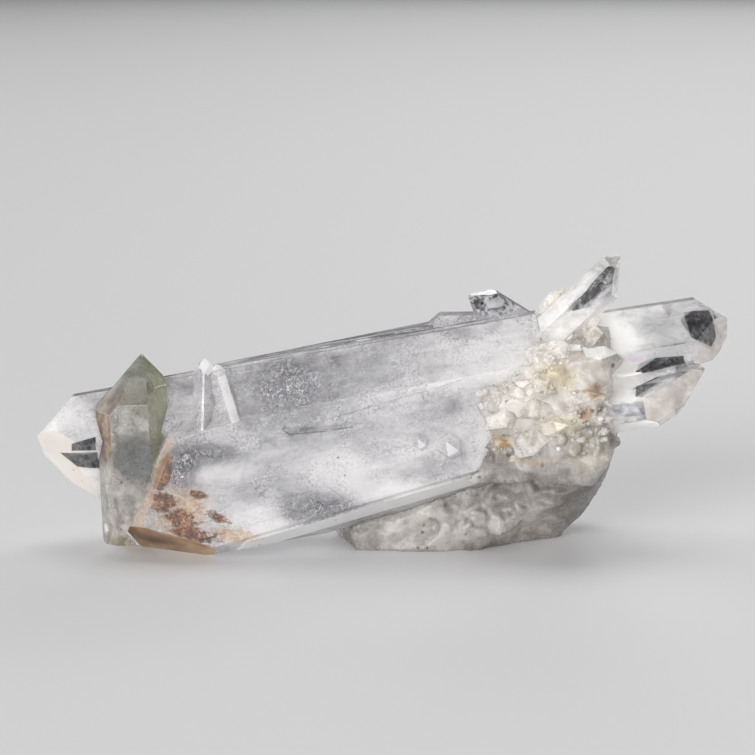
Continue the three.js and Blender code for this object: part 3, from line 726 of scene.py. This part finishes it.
chlorite.set(Base_Color=chlorite.colour(chlorite.noise(0.8, 2), (0.10, 0.13, 0.06), (0.34, 0.40, 0.20)))
piece("moss_in_green_crystal", moss, chlorite)
green_veils = bmesh.new()
for number, (x, z, turn) in enumerate([(-46, 24, 0.4), (-48, 15, -0.5), (-45, 31, 1.0), (-48, 8, 0.2)]):
    across = Vector((math.cos(turn), math.sin(turn), 0))
    veil(green_veils, in_green, at(x, -5.5, z), Vector((0, 0.1, 1)).normalized(), across, 11, 7,
         80 + number, 0.0)
piece("veils_in_green_crystal", green_veils, mist)

# The two clear points on the right and the slanting one: water-clear quartz at the ends, cloudy
# where they leave the matrix, with faces that are a little frosted. Dark panes on them are painted
# shade, where the dark seen through the faces shows over the dark sheets inside.
clear = Finish("clear_quartz_points", IOR=QUARTZ_IOR, Subsurface_Weight=0.6, Subsurface_Scale=2 * MM,
               Subsurface_Radius=(1, 1, 1))
bloom = clear.more(-0.30, clear.noise(3.2, 5, 0.68, 0.4, clear.stretched((0.45, 1, 1))), 0.9)
bloom = clear.plus(bloom, clear.marked("milkier_and_painted_light"))
root_cloud = clear.patch((38, -2, 34), (13, 16, 16), 0.35, 4)
bloom = clear.more(bloom, root_cloud, 0.5)
body_tint = clear.ramp(bloom, (0.1, (0.72, 0.72, 0.73)), (0.6, (0.93, 0.915, 0.905)))
upright_grain = clear.noise(0.9, 5, 0.75, 0, clear.stretched((1, 1, 0.35)))
scratched = clear.spread(upright_grain, 0.3, 0.55, 1, 0.55)
# Painted shade, as dark panes: one near the upper point, two on the lower one, and one on the slanting
# crystal.
PAINTED_DARK_WINDOWS = [
    [(55.9, -0.8, 45.1), (60.8, -0.9, 45.5), (62.6, 1.0, 39.9), (61.8, 1.5, 37.8), (57.2, -3.5, 40.6)],
    [(47.9, -2.8, 35.8), (50.5, -3.2, 37.0), (56.2, -2.8, 37.4), (56.7, -4.3, 35.2), (51.6, -3.7, 33.9),
     (47.0, -1.5, 33.4)],
    [(47.1, -4.1, 32.0), (56.6, -5.4, 34.9), (56.3, -6.1, 33.6), (52.4, -6.4, 33.1), (47.6, -9.4, 30.5),
     (46.4, -8.3, 30.4)],
    [(34.5, -6.7, 46.2), (38.1, -7.1, 46.3), (39.7, -7.2, 49.7), (42.9, -5.1, 52.0), (42.4, -6.5, 54.0),
     (41.2, -6.1, 54.6), (38.0, -6.2, 51.2)],
]
PALE_WINDOW = [(41.6, -9.9, 29.4), (48.2, -9.9, 30.1), (48.3, -10.8, 27.4), (43.0, -9.0, 26.6)]
painted_dark_window = clear.panes(PAINTED_DARK_WINDOWS, 0.4)
bloom = clear.minus(bloom, painted_dark_window)
fading = clear.spread(clear.noise(0.8, 5, 0.8), 0.34, 0.54, 0.4, 1)
painted_dark_window = clear.times(clear.times(painted_dark_window, scratched), fading)
body_tint = clear.tinted(body_tint, painted_dark_window, 0.95, PAINTED_DARK_GLASS)
cool_streaks = clear.noise(1.5, 4, 0.6, 0.5, clear.stretched((0.4, 1, 1)))
cool = clear.ramp(cool_streaks, (0.42, (0.22, 0.24, 0.30)), (0.6, (0.85, 0.88, 0.95)))
body_tint = clear.tinted(body_tint, clear.pane(PALE_WINDOW, 0.3), 0.7, cool)
# A painted glint: a faint purple patch that stands for a rainbow shine on the right points.
painted_purple_glint = clear.patch((47.4, -2.2, 36.7), (2.6, 3, 0.9), 0.9, 0.8)
body_tint = clear.tinted(body_tint, painted_purple_glint, 0.3, (0.72, 0.42, 0.85))
frosted = clear.ramp(clear.noise(2.2, 5, 0.7, 0.5), (0.4, (0.74, 0.66, 0.60)), (0.62, (0.93, 0.88, 0.84)))
clear.set(Base_Color=clear.colour(clear.marked("beige"), body_tint, frosted))
see_through = clear.times(clear.spread(bloom, 0.0, 0.8, 0.98, 0.2), clear.minus(1, painted_dark_window))
clear.set(Transmission_Weight=clear.more(see_through, painted_dark_window, 0.97))
clear.set(Roughness=clear.spread(clear.noise(2, 3), 0.3, 0.7, 0.02, 0.07))
clear.let_light_in(0.7)
clear.absorb((0.93, 0.92, 0.93), 12)
points = piece("right_points", worn_edges("right_crystals"), clear)
# Faces made milkier and paler; on the faces that turn downward this is partly painted glow.
mark_faces(points, "milkier_and_painted_light", [
    (((53.3, -8.0, 30.5), (0.34, -0.91, 0.25)), 0.35), (((61.6, 0.1, 39.3), (0.69, -0.66, -0.30)), 0.30),
    (((60.9, 1.1, 45.7), (0.50, 0.02, 0.87)), 0.40), (((47.9, -2.1, 42.1), (-0.05, -0.87, 0.50)), 0.15),
    (((46.8, -2.9, 35.8), (0.09, -0.87, -0.49)), 0.10), (((43.0, -8.0, 24.3), (0, -0.64, -0.76)), 0.7),
    (((44.6, -3.7, 31.3), (-0.30, -0.30, 0.91)), 0.10), (((53.1, -8.5, 26.8), (0.58, -0.67, -0.46)), 0.5),
])
mark_faces(points, "beige", [
    (((53.3, -8.0, 30.5), (0.34, -0.91, 0.25)), 0.8), (((61.6, 0.1, 39.3), (0.69, -0.66, -0.30)), 0.7),
    (((60.9, 1.1, 45.7), (0.50, 0.02, 0.87)), 0.5), (((53.1, -8.5, 26.8), (0.58, -0.67, -0.46)), 0.7),
])
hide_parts("right_crystals")
slanting = piece("slanting_point", worn_edges("slanting_crystal"), clear)
mark_faces(slanting, "milkier_and_painted_light", [
    (((42.8, -5.6, 51.9), (0.90, -0.42, -0.06)), 0.35), (((34.9, -5.4, 49.1), (-0.62, -0.50, 0.60)), 0.3),
    (((36.3, -5.2, 42.5), (0.59, -0.50, -0.63)), 0.3),
])
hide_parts("slanting_crystal")
in_points = inside_of("right_crystals")
point_veils = bmesh.new()
for number in range(12):
    middle = at(random.uniform(38, 58), random.uniform(-4, 5), 0)
    middle.z = (29 + 0.14 * (middle.x / MM - 36) if number % 2 else 39) * MM + random.uniform(-3, 3) * MM
    across = Vector((0.2 * random.gauss(0, 1), random.uniform(-1, 1), 1)).normalized()
    veil(point_veils, in_points, middle, Vector((1, 0, 0.15)).normalized(), across, random.uniform(5, 12),
         random.uniform(3, 6), 120 + number, -0.02)
piece("veils_in_right_points", point_veils, mist)
point_flakes = bmesh.new()
POINT_CRACKLES = [
    ((46, -2, 39.5), (4, 1.5, 1.8)), ((54.5, -2, 43), (1.6, 1.5, 2)), ((46, -7.5, 30.5), (3, 1.5, 1)),
    ((43.5, -8, 27.5), (2.2, 1.2, 1.5)), ((51, -3.0, 34), (4, 1, 1.5)), ((60.5, 0.5, 38), (1.8, 1.2, 1.2)),
]
flakes(point_flakes, in_points, POINT_CRACKLES, 1300, (0.12, 0.8), 91, (0.1, 0.4))
piece("flakes_in_right_points", point_flakes, silver)
in_slanting = inside_of("slanting_crystal")
slanting_flakes = bmesh.new()
SLANTING_CRACKLES = [((37.5, -6.2, 48.5), (3.4, 0.8, 3.4)), ((40.5, -6.0, 52), (1.6, 0.8, 2))]
flakes(slanting_flakes, in_slanting, SLANTING_CRACKLES, 800, (0.15, 0.9), 92, (0.1, 0.5), (0.5, 0, 0.5),
       0.1)
piece("flakes_in_slanting_point", slanting_flakes, silver)

# The crust of crystals on the matrix round the roots of the big ones: stubby milky quartz points
# that grew last and mostly lean out to the right, with nests of tiny yellowish ones between them.
CRUST_SUNK = 0.8                            # how deep a small crystal's foot is sunk, in its radii
CRUST_FLOOR = 19 * MM                       # no crystals grow on the rock below this height
CRUST_LEAN = Vector((0.8, -0.2, 0.3))
CRUST_EDGE, CRUST_EDGE_OVER = 0.06 * MM, 1.2 * MM    # edges longer than the second are worn by the first


def quartz_point(work, foot, axis, radius, length, turn):
    """A short six-sided crystal with a sloping point, sunk a little in what it grows on."""
    side = axis.orthogonal().normalized()
    other = axis.cross(side)
    rings = []
    for height in (-CRUST_SUNK * radius, length):
        ring = []
        for corner in range(6):
            angle = turn + math.pi / 3 * corner
            reach = radius * random.uniform(0.86, 1.12)
            across = side * math.cos(angle) + other * math.sin(angle)
            ring.append(work.verts.new(foot + axis * height + across * reach))
        rings.append(ring)
    apex = foot + axis * (length + radius * random.uniform(0.6, 1.0))
    apex += side * radius * random.uniform(-0.4, 0.4) + other * radius * random.uniform(-0.4, 0.4)
    tip = work.verts.new(apex)
    for corner in range(6):
        follow = (corner + 1) % 6
        work.faces.new([rings[0][corner], rings[0][follow], rings[1][follow], rings[1][corner]])
        work.faces.new([rings[1][corner], rings[1][follow], tip])


def in_box(place, low, high, margin=0.0):
    """Tells whether a place is in a box, and that far from its sides."""
    return all(l + margin < p < h - margin for p, l, h in zip(place, low, high))


random.seed(4021)
box_low, box_high = Vector(cad_box[0]), Vector(cad_box[1])
# Where the larger crystals stand: foot, the way they point, radius and length, in millimetres.
LARGER = [
    ((28.5, -8.8, 38.0), (0.90, -0.20, 0.36), 2.2, 4.8),
    ((26.0, -11.2, 28.6), (0.85, -0.45, 0.3), 2.9, 3.4), ((35.2, -12.6, 31.2), (0.93, -0.15, 0.3), 1.6, 2.6),
    ((35.6, -13.0, 27.2), (0.35, -0.3, 0.9), 0.8, 1.0), ((38.6, -10.6, 25.6), (0.8, -0.5, -0.1), 1.4, 1.4),
    ((37.0, -12.6, 24.6), (0.5, -0.8, 0.2), 1.3, 0.9), ((26.5, -11.6, 23.0), (0.75, -0.6, 0.25), 3.2, 2.2),
    ((31.0, -12.6, 25.8), (0.8, -0.5, 0.3), 2.1, 1.6), ((21.5, -11.0, 26.8), (0.85, -0.45, 0.3), 2.3, 2.0),
    ((18.0, -9.7, 31.6), (0.9, -0.3, 0.3), 0.9, 1.6), ((20.2, -10.0, 31.4), (0.9, -0.35, 0.25), 0.7, 1.2),
    ((24.5, -10.2, 32.5), (0.85, -0.35, 0.35), 1.8, 3.2), ((35.0, -12.0, 21.5), (0.6, -0.7, -0.1), 1.8, 0.6),
    ((24.0, -11.4, 19.8), (0.3, -0.9, 0.2), 1.6, 0.6), ((39.5, -8.5, 29.0), (0.9, -0.4, 0.1), 1.6, 1.6),
]
crust_points = bmesh.new()
for foot, way, radius, length in LARGER:
    quartz_point(crust_points, at(*foot), Vector(way).normalized(), radius * MM, length * MM,
                 random.uniform(0, 1))
# Nests of tiny crystals, and a scatter over the rest: middle, reach, how many, and radii.
NESTS = [
    ((31.5, -12, 35.5), (4.5, 4, 3.4), 60, (0.2, 0.55)),
    ((21.7, -11, 23), (3.4, 3, 2.6), 26, (0.25, 0.7)),
    ((37.5, -12, 26.5), (4.0, 4, 3.0), 44, (0.25, 0.9)), ((35, -4, 34), (13.5, 16, 12), 56, (1.0, 2.2)),
    ((20, -9, 31), (4.0, 3, 2.5), 14, (0.3, 0.7)), ((33, 6, 36), (14, 9, 9), 60, (0.8, 2.6)),
    ((30, -8, 30), (11, 9, 9), 90, (0.2, 0.6)),
]
# The faces come in no fixed order, so they are sorted, and each crystal has a seed of its own.
crust_ground = sorted([face for face in matrix.data.polygons if face.center.z > CRUST_FLOOR],
                      key=lambda face: [round(c / MM, 3) for c in face.center])
for nest, (middle, reach, count, radii) in enumerate(NESTS):
    low, high = at(*[m - r for m, r in zip(middle, reach)]), at(*[m + r for m, r in zip(middle, reach)])
    ground = [face for face in crust_ground if in_box(face.center, low, high) and face.normal.z > -0.4
              and (face.center - CALM_PLACE).length > 0.75 * CALM_REACH]
    for number in range(count):
        random.seed(1000 * nest + number)
        face = ground[int(random.random() * len(ground))]
        stray = Vector([random.gauss(0, 0.25) for _ in range(3)])
        axis = (face.normal + CRUST_LEAN + stray).normalized()
        radius = random.triangular(*radii, radii[0]) * MM
        length = radius * random.uniform(0.6, 2.2)
        top = face.center + axis * (length + radius * 1.2)
        if all(in_box(place, box_low, box_high, radius * 1.2) for place in (top, face.center)):
            quartz_point(crust_points, face.center, axis, radius, length, random.uniform(0, 1))
crust_edges = [edge for edge in crust_points.edges if edge.calc_length() > CRUST_EDGE_OVER]
bmesh.ops.bevel(crust_points, geom=crust_edges, offset=CRUST_EDGE, segments=1, affect="EDGES",
                clamp_overlap=True)
druse = Finish("small_crust_crystals", IOR=QUARTZ_IOR, Subsurface_Weight=0.7,
               Subsurface_Scale=2 * MM, Subsurface_Radius=(1, 0.97, 0.9))
cloudy = druse.more(druse.times(druse.noise(1.1, 5, 0.7), 0.5), druse.noise(5, 3, 0.5), 0.6)
sugar = druse.ramp(cloudy, (0.42, (0.68, 0.64, 0.59)), (0.55, (0.86, 0.82, 0.77)),
                   (0.68, (0.95, 0.92, 0.89)))
for place, size, tint, strength in TINTS:
    sugar = druse.tinted(sugar, druse.patch(place, size, 0.5, 1.5), strength, tint)
sugar = druse.tinted(sugar, druse.specks(1.7, 0.3, 4), 0.7, (0.12, 0.14, 0.07))
druse.set(Base_Color=sugar, Transmission_Weight=druse.spread(cloudy, 0.4, 0.65, 0.7, 0.25))
druse.set(Roughness=druse.spread(druse.noise(1.5, 3), 0.35, 0.65, 0.04, 0.14))
druse.let_light_in(0.6)
piece("crust_of_small_crystals", crust_points, druse)

# The table that the cluster lies on: one plain pale painted surface, wide enough to fill every
# view. It is not part of the cluster.
TABLE_SIZE, TABLE_MIDDLE = 40, (0, 10, 0)
bpy.ops.mesh.primitive_plane_add(size=TABLE_SIZE, location=TABLE_MIDDLE)
table = bpy.context.object
table.name = "pale_table"
paint = Finish("pale_paint", Roughness=0.65, Base_Color=(0.66, 0.66, 0.665, 1))
table.data.materials.append(paint.material)

# The lamps: bright soft panels well away from the cluster, most of the light from the front left,
# with a little from each other side and an even dim room round them.
HEART = at(0, 0, 28)


def lamp(name, place, aim, width, height, power, tint=(1, 1, 1)):
    """A soft lamp: a bright panel that looks at a point."""
    light = bpy.data.lights.new(name, "AREA")
    light.shape = "RECTANGLE"
    light.size, light.size_y = width, height
    light.energy = power
    light.color = tint
    made = bpy.data.objects.new(name, light)
    made.location = place
    made.rotation_euler = (aim - made.location).to_track_quat("-Z", "Y").to_euler()
    bpy.context.scene.collection.objects.link(made)


lamp("top_lamp", (0.1, 0.5, 3.0), HEART, 1.8, 1.6, 34)
lamp("front_lamp", (-1.8, -2.8, 1.35), HEART, 2.0, 1.5, 84, (1, 0.99, 0.98))
lamp("back_lamp", (0.6, 3.0, 1.5), HEART, 1.6, 1.2, 15)
lamp("low_lamp", (0.4, -3.0, 0.3), HEART, 2.4, 0.5, 26)
lamp("right_lamp", (2.6, 1.2, 1.3), HEART, 1.2, 1.8, 30)
lamp("left_lamp", (-2.8, 0.9, 1.0), HEART, 1.0, 1.6, 20, (0.97, 0.98, 1))
world = bpy.data.worlds.new("studio")
bpy.context.scene.world = world
world.use_nodes = True
room = world.node_tree.nodes["Background"]
room.inputs["Color"].default_value = (0.98, 0.99, 1, 1)
room.inputs["Strength"].default_value = 0.14

# The camera stands in front of the cluster and looks down on it at a small angle, from about as
# far as a specimen is photographed with a long lens.
CAMERA_LENS, CAMERA_SENSOR = 100, 36
CAMERA_NEAR, CAMERA_FAR = 0.02, 50
CAMERA_AWAY = 0.396
CAMERA_RISE = math.radians(12)
AIM = at(-0.966, 1.714, 32.0)
view = bpy.data.cameras.new("camera")
view.lens = CAMERA_LENS
view.sensor_width = CAMERA_SENSOR
view.clip_start = CAMERA_NEAR
view.clip_end = CAMERA_FAR
camera = bpy.data.objects.new("camera", view)
camera.location = AIM + Vector((0, -math.cos(CAMERA_RISE), math.sin(CAMERA_RISE))) * CAMERA_AWAY
camera.rotation_euler = (math.pi / 2 - CAMERA_RISE, 0, 0)
bpy.context.scene.collection.objects.link(camera)
bpy.context.scene.camera = camera
bpy.context.scene.view_settings.view_transform = "Standard"
# Light goes through many faces of clear quartz before it comes out.
rays = bpy.context.scene.cycles
rays.max_bounces = 16
rays.transmission_bounces = 14
rays.glossy_bounces = 6
rays.transparent_max_bounces = 24
